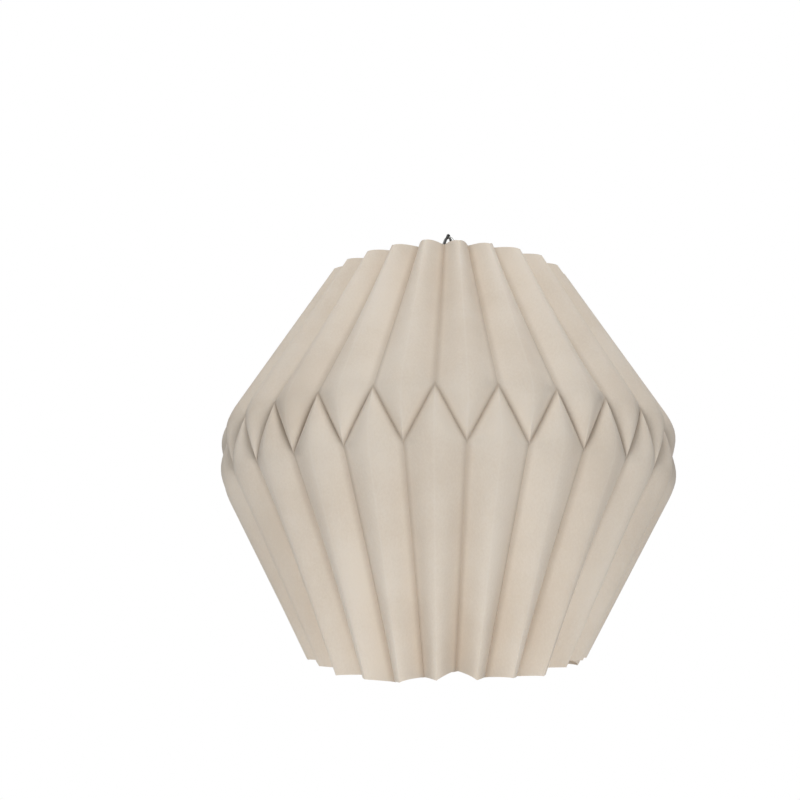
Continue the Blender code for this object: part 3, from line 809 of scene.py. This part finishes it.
def wire(points: Sequence[Sequence[float]], radius: float, cyclic: bool = False) -> bpy.types.Object:
    """Bend a round wire along points and give it as a mesh with closed ends.

    Args:
        points: Its middle line.
        radius: Its radius.
        cyclic: Whether it closes on itself.

    Returns:
        The wire's mesh object.
    """
    deselect()
    data = bpy.data.curves.new("wire", "CURVE")
    data.dimensions = "3D"
    data.bevel_depth = radius
    data.bevel_resolution = 4
    data.use_fill_caps = not cyclic
    line = data.splines.new("POLY")
    line.points.add(len(points) - 1)
    for spot, point in zip(line.points, points):
        spot.co = (*point, 1.0)
    line.use_cyclic_u = cyclic
    made = bpy.data.objects.new("wire", data)
    bpy.context.scene.collection.objects.link(made)
    select_only(made)
    bpy.ops.object.convert(target="MESH")
    made = bpy.context.object
    bpy.ops.object.mode_set(mode="EDIT")
    bpy.ops.mesh.select_all(action="SELECT")
    bpy.ops.mesh.remove_doubles(threshold=MERGE)
    bpy.ops.object.mode_set(mode="OBJECT")
    smooth_by_angle(made, WIRE_ANGLE)
    return made


def rounded(points: Sequence[Sequence[float]], radii: Sequence[float], steps: int = 12) -> list:
    """Replace each inner corner of a flat polyline by an arc.

    Args:
        points: The (a, b) corners.
        radii: One radius for each inner corner.
        steps: Straight runs in each arc.

    Returns:
        The rounded path.
    """
    path = [Vector(points[0])]
    for before, corner, after, radius in zip(points, points[1:], points[2:], radii):
        before, corner, after = Vector(before), Vector(corner), Vector(after)
        into = (corner - before).normalized()
        out = (after - corner).normalized()
        turn = into.angle_signed(out)
        start = corner - into * radius * math.tan(abs(turn) / 2)
        side = Vector((into.y, -into.x)) * math.copysign(1.0, turn)
        centre = start + side * radius
        for step in range(steps + 1):
            path.append(centre + Matrix.Rotation(-turn * step / steps, 2) @ (start - centre))
    path.append(Vector(points[-1]))
    return path


@dataclass
class Wires:
    """The rim wires, the peaked hanger wire and the black wire of the light."""

    shell: PaperShell
    gauge: float = 0.9 * MM
    gap: float = 0.3 * MM
    ring_sides: int = 192
    ring_clear: float = 0.9 * MM
    hanger_turn: float = math.radians(-10.7 + 10 * 7.5 - 90.0)
    peak_bend: float = 2.0 * MM
    peak_half_angle: float = math.radians(24)
    peak_height: float = 15.0 * MM
    peak_steps: int = 16
    knee_bend: float = 4.0 * MM
    loop_radius: float = 2.2 * MM
    loop_wrap: float = math.radians(262)
    loop_steps: int = 40
    bail_gauge: float = 0.7 * MM
    crown_steps: int = 12
    ear_z: float = -34.0 * MM
    ear_reach: float = 17.0 * MM
    shoulder_rise: float = 10.0 * MM
    housing_radius: float = 14.0 * MM
    shoulder_bend: float = 3.0 * MM
    foot_bend: float = 1.2 * MM

    def arc(self, centre: Vector, radius: float, start: float, end: float, steps: int) -> list:
        """Points of a flat arc between two angles."""
        line = []
        for step in range(steps + 1):
            angle = start + (end - start) * step / steps
            line.append(centre + radius * Vector((math.cos(angle), math.sin(angle))))
        return line

    def across(self, point: Vector, side: int) -> tuple[float, float, float]:
        """Place a (reach, z) point of the hanger's plane in the frame."""
        reach = side * point.x
        return reach * math.cos(self.hanger_turn), reach * math.sin(self.hanger_turn), point.y

    def along(self, point: Vector, side: int) -> tuple[float, float, float]:
        """Place a (reach, z) point of the bail's plane, square to the hanger's, in the frame."""
        reach = side * point.x
        return -reach * math.sin(self.hanger_turn), reach * math.cos(self.hanger_turn), point.y

    def ring(self, name: str, fitted: bool) -> tuple[float, float]:
        """Close one rim wire with a butt weld.

        Args:
            name: The ring's name, which is also its frame node's.
            fitted: Whether its radius follows the shell instead of the frame.

        Returns:
            The ring's radius and height.
        """
        low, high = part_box(name)
        level = (low[2] + high[2]) / 2
        radius = high[0] - self.gauge
        if fitted:
            radius = min(radius, self.shell.valley_at(level) - self.gauge - self.ring_clear)
        points = []
        for step in range(self.ring_sides):
            angle = 2 * math.pi * step / self.ring_sides
            points.append((radius * math.cos(angle), radius * math.sin(angle), level))
        dress(wire(points, self.gauge, cyclic=True), name + "_drawn", "zinc_wire", Body.SHADE, [name])
        return radius, level

    def hanger(self, ring_radius: float, ring_z: float) -> None:
        """Bend the hanger: peak, two legs and an open loop round the top ring at each end."""
        bend = self.peak_bend + self.gauge
        centre = Vector((0.0, self.gauge - bend))
        half = self.arc(centre, bend, math.pi / 2, self.peak_half_angle, self.peak_steps)
        knee = half[-1] + self.peak_height * Vector((math.sin(self.peak_half_angle),
                                                     -math.cos(self.peak_half_angle)))
        ring = Vector((ring_radius, ring_z))
        towards = ring - knee
        aim = math.atan2(towards.y, towards.x) + math.asin(self.loop_radius / towards.length)
        touch = ring + self.loop_radius * Vector((-math.sin(aim), math.cos(aim)))
        half += rounded([half[-1], knee, touch], [self.knee_bend])[1:-1]
        start = aim + math.pi / 2
        half += self.arc(ring, self.loop_radius, start, start - self.loop_wrap, self.loop_steps)
        points = [self.across(point, -1) for point in reversed(half[1:])]
        points += [self.across(point, 1) for point in half]
        dress(wire(points, self.gauge), "hanger_wire_bent", "zinc_wire", Body.HANGER, ["hanger_wire"])

    def bail(self) -> None:
        """Bend the light's own wire over the hanger's peak and down into the two ears."""
        crown = self.gauge + self.gap + self.bail_gauge
        leg = self.ear_reach + self.gap + self.bail_gauge
        top = Vector((0.0, self.gauge))
        shoulder = Vector((leg, self.ear_z + self.shoulder_rise))
        towards = shoulder - top
        aim = math.atan2(towards.y, towards.x) + math.asin(crown / towards.length)
        touch = top + crown * Vector((-math.sin(aim), math.cos(aim)))
        half = self.arc(top, crown, math.pi / 2, math.pi / 2 + aim, self.crown_steps)
        corners = [touch, shoulder, (leg, self.ear_z), (self.housing_radius + self.gap, self.ear_z)]
        half += rounded(corners, [self.shoulder_bend, self.foot_bend])[1:]
        points = [self.along(point, -1) for point in reversed(half[1:])]
        points += [self.along(point, 1) for point in half]
        dress(wire(points, self.bail_gauge), "light_bail_bent", "black_wire", Body.BAIL, ["light_bail"])

    def build(self) -> None:
        """Build every wire."""
        radius, level = self.ring("top_wire_ring", False)
        self.ring("bottom_wire_ring", True)
        self.hanger(radius, level)
        self.bail()


# --- battery light -----------------------------------------------------------------------------

def round_edges(piece: bpy.types.Object, radius: float) -> None:
    """Round every edge that turns by more than the bevel angle; a radius of 0 leaves them sharp."""
    if radius > 0.0:
        apply_modifier(piece, "BEVEL", width=radius, segments=3, limit_method="ANGLE",
                       angle_limit=BEVEL_ANGLE)


def turned(profile: Sequence[Sequence[float]], sides: int = 96, bevel: float = 0.0) -> bpy.types.Object:
    """Turn a (radius, z) profile round Z, extruded ring by ring and closed at both of its ends.

    Args:
        profile: The profile's points; the first and the last one lie on the axis.
        sides: Sides of each ring.
        bevel: Radius of the rounded edges.

    Returns:
        The turned mesh object.
    """
    pole, first, *others = profile
    deselect()
    bpy.ops.mesh.primitive_circle_add(vertices=sides, radius=first[0], fill_type="NOTHING")
    made = bpy.context.object
    made.location.z = first[1]
    select_only(made)
    bpy.ops.object.transform_apply(location=True, rotation=False, scale=False)
    bpy.ops.object.mode_set(mode="EDIT")
    bpy.ops.mesh.select_mode(type="EDGE")
    bpy.ops.mesh.select_all(action="SELECT")
    bpy.ops.mesh.extrude_region_move(TRANSFORM_OT_translate={"value": (0.0, 0.0, pole[1] - first[1])})
    bpy.ops.mesh.merge(type="CENTER")
    bpy.ops.mesh.select_all(action="DESELECT")
    bpy.ops.mesh.select_non_manifold(extend=False)
    radius, level = first
    for next_radius, next_level in others:
        bpy.ops.mesh.extrude_region_move(TRANSFORM_OT_translate={"value": (0.0, 0.0, next_level - level)})
        if next_radius > 0.0:
            growth = next_radius / radius
            bpy.ops.transform.resize(value=(growth, growth, 1.0), center_override=(0.0, 0.0, next_level))
            radius, level = next_radius, next_level
    bpy.ops.mesh.merge(type="CENTER")
    bpy.ops.mesh.select_all(action="SELECT")
    bpy.ops.mesh.normals_make_consistent(inside=False)
    bpy.ops.object.mode_set(mode="OBJECT")
    round_edges(made, bevel)
    return made


def block(size: Sequence[float], centre: Sequence[float], turn: float = 0.0, bevel: float = 0.0
          ) -> bpy.types.Object:
    """Make a block with rounded edges, turned round Z about the frame's origin.

    Args:
        size: Its sides.
        centre: Its middle before the turn.
        turn: Angle round Z.
        bevel: Radius of the rounded edges.

    Returns:
        The block.
    """
    deselect()
    bpy.ops.mesh.primitive_cube_add(size=1.0)
    made = bpy.context.object
    made.scale = size
    made.location = centre
    select_only(made)
    bpy.ops.object.transform_apply(location=True, rotation=True, scale=True)
    made.rotation_euler.z = turn
    bpy.ops.object.transform_apply(location=False, rotation=True, scale=False)
    round_edges(made, bevel)
    return made


def rod(radius: float, start: Sequence[float], end: Sequence[float], bevel: float = 0.0,
        sides: int = 40) -> bpy.types.Object:
    """Make a round rod between two points.

    Args:
        radius: Its radius.
        start: Its first end.
        end: Its other end.
        bevel: Radius of the rounded ends.
        sides: Sides round it.

    Returns:
        The rod.
    """
    deselect()
    start, end = Vector(start), Vector(end)
    bpy.ops.mesh.primitive_cylinder_add(radius=radius, depth=(end - start).length, vertices=sides)
    made = bpy.context.object
    made.rotation_euler = (end - start).to_track_quat("Z", "Y").to_euler()
    made.location = (start + end) / 2
    select_only(made)
    bpy.ops.object.transform_apply(location=True, rotation=True, scale=True)
    round_edges(made, bevel)
    return made


def ring_of(tool: bpy.types.Object, reach: float, angles: Sequence[float]) -> bpy.types.Object:
    """Copy an upright tool to each angle of a circle round Z and join the copies.

    Args:
        tool: The tool, on the axis; it becomes the first copy.
        reach: The circle's radius.
        angles: The angle of each copy.

    Returns:
        The joined copies.
    """
    copies = [tool]
    for _ in angles[1:]:
        select_only(tool)
        bpy.ops.object.duplicate()
        copies.append(bpy.context.object)
    deselect()
    for copy, angle in zip(copies, angles):
        copy.location = (reach * math.cos(angle), reach * math.sin(angle), 0.0)
        copy.select_set(True)
    bpy.context.view_layer.objects.active = tool
    bpy.ops.object.join()
    bpy.ops.object.transform_apply(location=True, rotation=False, scale=False)
    return tool


def combine(target: bpy.types.Object, tool: bpy.types.Object, operation: str) -> None:
    """Join, or cut away, a tool from a target, and remove the tool.

    Args:
        target: The piece.
        tool: The tool.
        operation: UNION or DIFFERENCE.
    """
    apply_modifier(target, "BOOLEAN", object=tool, operation=operation, solver="EXACT")
    bpy.data.objects.remove(tool, do_unlink=True)


@dataclass
class BatteryLight:
    """The visible casing of the light: housing, lid, globe and switch knob.

    Its own X axis runs along the hanger's plane and points to the switch; its ears lie on its Y axis.
    """

    wires: Wires
    gap: float = 0.3 * MM
    bore: float = 12.0 * MM
    ear_radius: float = 3.0 * MM
    ear_bore: float = 0.92 * MM
    ear_depth: float = 3.2 * MM
    edge: float = 0.3 * MM
    soft_edge: float = 0.4 * MM
    flutes: int = 20
    flute_radius: float = 0.9 * MM
    flute_depth: float = 0.35 * MM
    flute_end: float = 9.0 * MM
    flute_sides: int = 16
    clear_of_switch: float = math.radians(25)
    clear_of_ears: float = math.radians(18)
    slot: tuple[float, ...] = (6.0 * MM, 3.6 * MM, 5.5 * MM)
    lid_plate: float = 2.0 * MM
    lid_wall: float = 1.8 * MM
    coin_slot: tuple[float, ...] = (12.0 * MM, 2.0 * MM, 1.0 * MM)
    nicks: int = 36
    nick_radius: float = 0.5 * MM
    nick_reach: float = 0.2 * MM
    nick_start: float = 0.35
    nick_sides: int = 10
    switch_clear: float = 1.4 * MM
    knob_edge: float = 0.25 * MM
    knob_grip: tuple[float, ...] = (1.4 * MM, 5.0 * MM, 3.6 * MM)
    knob_stem: tuple[float, ...] = (3.0 * MM, 2.4 * MM)
    knob_groove: tuple[float, ...] = (0.42 * MM, 6.0 * MM, 0.4 * MM)
    groove_pitch: float = 0.9 * MM
    globe_radius: float = 19.0 * MM
    globe_half: float = 11.0 * MM
    globe_wall: float = 1.2 * MM
    globe_drop: float = 1.0 * MM
    globe_steps: int = 40

    def __post_init__(self) -> None:
        """Take the levels of the light from the frame."""
        self.turn = self.wires.hanger_turn
        self.top_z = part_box("light_housing")[1][2]
        self.foot_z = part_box("light_housing")[0][2]
        self.board_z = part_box("led_board")[1][2] + self.gap
        self.floor_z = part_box("negative_plate")[0][2] - self.gap
        self.lid_low, self.lid_top = (corner[2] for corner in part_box("battery_lid"))
        self.knob_low, self.knob_top = (corner[2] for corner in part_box("switch_knob"))
        self.switch_z = sum(corner[2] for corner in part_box("switch_body")) / 2

    def turned_place(self, x: float, y: float, z: float) -> Vector:
        """Turn a point of the light's own axes into the frame."""
        return Matrix.Rotation(self.turn, 3, "Z") @ Vector((x, y, z))

    def housing(self) -> None:
        """Mould the casing: a ribbed tube with two ears and a slot for the switch."""
        outer = self.wires.housing_radius
        profile = [(0.0, self.floor_z), (self.bore, self.floor_z), (self.bore, self.top_z),
                   (outer, self.top_z), (outer, self.foot_z), (self.bore, self.foot_z),
                   (self.bore, self.board_z), (0.0, self.board_z)]
        casing = turned(profile, bevel=self.edge)
        angles = []
        for number in range(self.flutes):
            angle = 2 * math.pi * (number + 0.5) / self.flutes
            away = abs(math.remainder(angle, 2 * math.pi))
            if away > self.clear_of_switch and abs(away - math.pi / 2) > self.clear_of_ears:
                angles.append(self.turn + angle)
        low = (0.0, 0.0, self.foot_z + self.flute_end)
        high = (0.0, 0.0, self.top_z - self.flute_end)
        flute = rod(self.flute_radius, low, high, self.soft_edge, self.flute_sides)
        combine(casing, ring_of(flute, outer + self.flute_radius - self.flute_depth, angles), "DIFFERENCE")
        for side in (-1, 1):
            ear = [self.turned_place(0.0, side * reach, self.wires.ear_z)
                   for reach in (self.bore + SPARE, self.wires.ear_reach)]
            combine(casing, rod(self.ear_radius, *ear, self.soft_edge), "UNION")
            hole = [self.turned_place(0.0, side * (self.wires.ear_reach + past), self.wires.ear_z)
                    for past in (-self.ear_depth, SPARE)]
            combine(casing, rod(self.ear_bore, *hole), "DIFFERENCE")
        slot = block(self.slot, (outer - SPARE, 0.0, self.switch_z), self.turn)
        combine(casing, slot, "DIFFERENCE")
        smooth_by_angle(casing, MOULDED_ANGLE)
        dress(casing, "light_housing_moulded", "white_plastic", Body.LIGHT, ["light_housing"])

    def lid(self) -> None:
        """Mould the lid with its coin slot and a knurled edge."""
        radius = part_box("battery_lid")[1][0]
        under = self.lid_top - self.lid_plate
        plug = self.bore - self.gap
        core = plug - self.lid_wall
        profile = [(0.0, self.lid_top), (radius, self.lid_top), (radius, under), (plug, under),
                   (plug, self.lid_low), (core, self.lid_low), (core, under), (0.0, under)]
        cover = turned(profile, bevel=self.edge)
        length, width, depth = self.coin_slot
        combine(cover, block((length, width, 2 * depth), (0.0, 0.0, self.lid_top), self.turn), "DIFFERENCE")
        low = (0.0, 0.0, under - SPARE)
        high = (0.0, 0.0, self.lid_top + SPARE)
        angles = [2 * math.pi * (number + self.nick_start) / self.nicks for number in range(self.nicks)]
        nick = rod(self.nick_radius, low, high, sides=self.nick_sides)
        combine(cover, ring_of(nick, radius + self.nick_reach, angles), "DIFFERENCE")
        smooth_by_angle(cover, MOULDED_ANGLE)
        dress(cover, "battery_lid_moulded", "grey_plastic", Body.LID, ["battery_lid"])

    def globe_line(self, radius: float, half: float, neck: float) -> list:
        """Half an upright ellipse from the neck's radius past its widest down to the pole."""
        steps = self.globe_steps
        start = math.acos(neck / radius)
        line = []
        for step in range(steps + 1):
            angle = start - step / steps * (start + math.pi / 2)
            line.append((radius * math.cos(angle), half * math.sin(angle)))
        line[-1] = (0.0, -half)
        return line

    def globe(self) -> None:
        """Blow the frosted globe: a neck over the housing's foot and a flattened ball."""
        neck_in = self.wires.housing_radius + self.gap
        neck_out = neck_in + self.globe_wall
        outer = self.globe_line(self.globe_radius, self.globe_half, neck_out)
        wall = self.globe_wall
        inner = self.globe_line(self.globe_radius - wall, self.globe_half - wall, neck_in)
        middle = self.foot_z - self.globe_drop - outer[0][1]
        neck_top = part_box("frosted_globe")[1][2]
        up = [(radius, middle + z) for radius, z in reversed(inner)] + [(neck_in, neck_top)]
        down = [(neck_out, neck_top)] + [(radius, middle + z) for radius, z in outer]
        ball = turned(up + down)
        smooth_by_angle(ball, MOULDED_ANGLE)
        dress(ball, "frosted_globe_blown", "frosted_plastic", Body.LIGHT, ["frosted_globe"])

    def knob(self) -> None:
        """Mould the switch knob: a stem and a ridged grip."""
        outer = self.wires.housing_radius
        middle = (self.knob_low + self.knob_top) / 2
        stem_in = self.bore - self.switch_clear + self.gap
        stem_out = outer + self.gap + self.knob_grip[0] / 2
        stem = (stem_out - stem_in, *self.knob_stem)
        knob = block(stem, ((stem_in + stem_out) / 2, 0.0, middle), self.turn)
        grip = block(self.knob_grip, (stem_out, 0.0, middle), self.turn, self.knob_edge)
        combine(knob, grip, "UNION")
        face = outer + self.gap + self.knob_grip[0]
        for step in (-1, 0, 1):
            level = middle + step * self.groove_pitch
            combine(knob, block(self.knob_groove, (face, 0.0, level), self.turn), "DIFFERENCE")
        smooth_by_angle(knob, MOULDED_ANGLE)
        dress(knob, "switch_knob_moulded", "grey_plastic", Body.KNOB, ["switch_knob"])

    def build(self) -> None:
        """Build the visible casing."""
        self.housing()
        self.lid()
        self.globe()
        self.knob()


# --- studio ------------------------------------------------------------------------------------

@dataclass
class Studio:
    """A pale floor, soft lights, and the camera below the lantern's middle."""

    camera_distance: float = 1.0805
    camera_z: float = -0.3776
    camera_pitch: float = math.radians(12.33)
    lens: float = 74.4
    shift: tuple[float, ...] = (-0.0607, 0.05)
    ambient: float = 0.27
    key_power: float = 11.9
    light_distance: float = 1.1
    rise: float = math.radians(53)
    high_share: float = 0.46
    rear_share: float = 0.18
    side_share: float = 0.11
    strip_light: tuple[float, ...] = (0.3, 0.8)
    overhead_power: float = 8.0
    overhead_size: tuple[float, ...] = (2.4, 2.4)
    overhead_place: Vector = field(default_factory=lambda: Vector((0.0, -0.3, 2.0)))
    middle: Vector = field(default_factory=lambda: Vector((0.0, 0.0, -0.155)))
    floor_z: float = -1.35
    floor_glow: float = 0.45
    extent: float = 6.0

    def floor_material(self) -> bpy.types.Material:
        """A matte pale paint with a trace of mottle."""
        paint = NodeMaterial("floor_paint")
        paint.set(Roughness=0.9, Specular_IOR_Level=0.1, Emission_Color=(1.0, 1.0, 1.0, 1.0),
                  Emission_Strength=self.floor_glow)
        mottled = paint.fade(paint.noise(2.0), 0.3, 0.7)
        colour = paint.blend(mottled, (0.93, 0.93, 0.93), (0.95, 0.95, 0.95))
        paint.link(colour, paint.shader.inputs["Base Color"])
        return paint.material

    def build_floor(self) -> None:
        """Lay one plain pale floor well below the lantern, whose glow doesn't reach the lantern."""
        deselect()
        bpy.ops.mesh.primitive_plane_add(size=2 * self.extent, location=(0.0, 0.0, self.floor_z))
        floor = bpy.context.object
        select_only(floor)
        bpy.ops.object.transform_apply(location=True, rotation=True, scale=True)
        floor.name = "studio_floor"
        floor.visible_diffuse = False
        floor.data.materials.append(self.floor_material())

    def build_light(self, name: str, place: Vector, size: Sequence[float], power: float) -> None:
        """Add one soft light that faces the lantern's middle.

        Args:
            name: The light's name.
            place: Where it stands.
            size: Its width and height.
            power: Its power in watts.
        """
        data = bpy.data.lights.new(name, "AREA")
        data.shape = "RECTANGLE"
        data.size, data.size_y = size
        data.energy = power
        lamp = bpy.data.objects.new(name, data)
        bpy.context.scene.collection.objects.link(lamp)
        lamp.visible_camera = False
        lamp.location = place
        lamp.rotation_euler = (self.middle - place).to_track_quat("-Z", "Y").to_euler()

    def build_world(self) -> None:
        """A surround that shows white and lights the lantern dimly."""
        world = bpy.data.worlds.new("surround")
        world.use_nodes = True
        tree = world.node_tree
        back = tree.nodes["Background"]
        back.inputs["Color"].default_value = (1.0, 1.0, 1.0, 1.0)
        seen = tree.nodes.new("ShaderNodeLightPath")
        level = tree.nodes.new("ShaderNodeMapRange")
        level.inputs["To Min"].default_value = self.ambient
        level.inputs["To Max"].default_value = 1.0
        tree.links.new(seen.outputs["Is Camera Ray"], level.inputs["Value"])
        tree.links.new(level.outputs["Result"], back.inputs["Strength"])
        bpy.context.scene.world = world

    def build_camera(self) -> None:
        """Look up at the lantern from a little below it."""
        data = bpy.data.cameras.new("camera")
        data.lens = self.lens
        data.sensor_width = 36.0
        data.shift_x, data.shift_y = self.shift
        camera = bpy.data.objects.new("camera", data)
        bpy.context.scene.collection.objects.link(camera)
        camera.location = (0.0, -self.camera_distance, self.camera_z)
        camera.rotation_euler = (math.pi / 2 + self.camera_pitch, 0.0, 0.0)
        bpy.context.scene.camera = camera

    def build(self) -> None:
        """Build the whole studio."""
        bpy.context.scene.view_settings.view_transform = "Standard"
        self.build_floor()
        self.build_world()
        front, rear, left, right = (math.radians(turn) for turn in (-90, 90, 180, 0))
        for name, turn, rise, share in (
            ("front_high_light", front, self.rise, self.high_share),
            ("front_low_light", front, -self.rise, 1.0 - self.high_share),
            ("rear_high_light", rear, self.rise, self.rear_share),
            ("rear_low_light", rear, -self.rise, self.rear_share),
            ("left_light", left, 0.0, self.side_share),
            ("right_light", right, 0.0, self.side_share),
        ):
            level = math.cos(rise)
            away = Vector((level * math.cos(turn), level * math.sin(turn), math.sin(rise)))
            place = self.middle + away * self.light_distance
            self.build_light(name, place, self.strip_light, share * self.key_power)
        self.build_light("overhead_light", self.overhead_place, self.overhead_size, self.overhead_power)
        self.build_camera()


def dress_frame_nodes() -> None:
    """Give every frame node that stays its better finish."""
    slots = {part["node"]: part["material_slot"] for part in frame["record"]["subparts"]}
    for node, piece in frame["nodes"].items():
        material = FINISHES.get(slots[node])
        for slot in piece.material_slots:
            slot.material = material


def main() -> None:
    """Build the lantern and its studio."""
    logging.basicConfig(level=logging.INFO, format="%(message)s")
    dress_frame_nodes()
    shell = PaperShell()
    shell.build()
    wires = Wires(shell)
    wires.build()
    BatteryLight(wires).build()
    Studio().build()


if __name__ == "__main__":
    main()
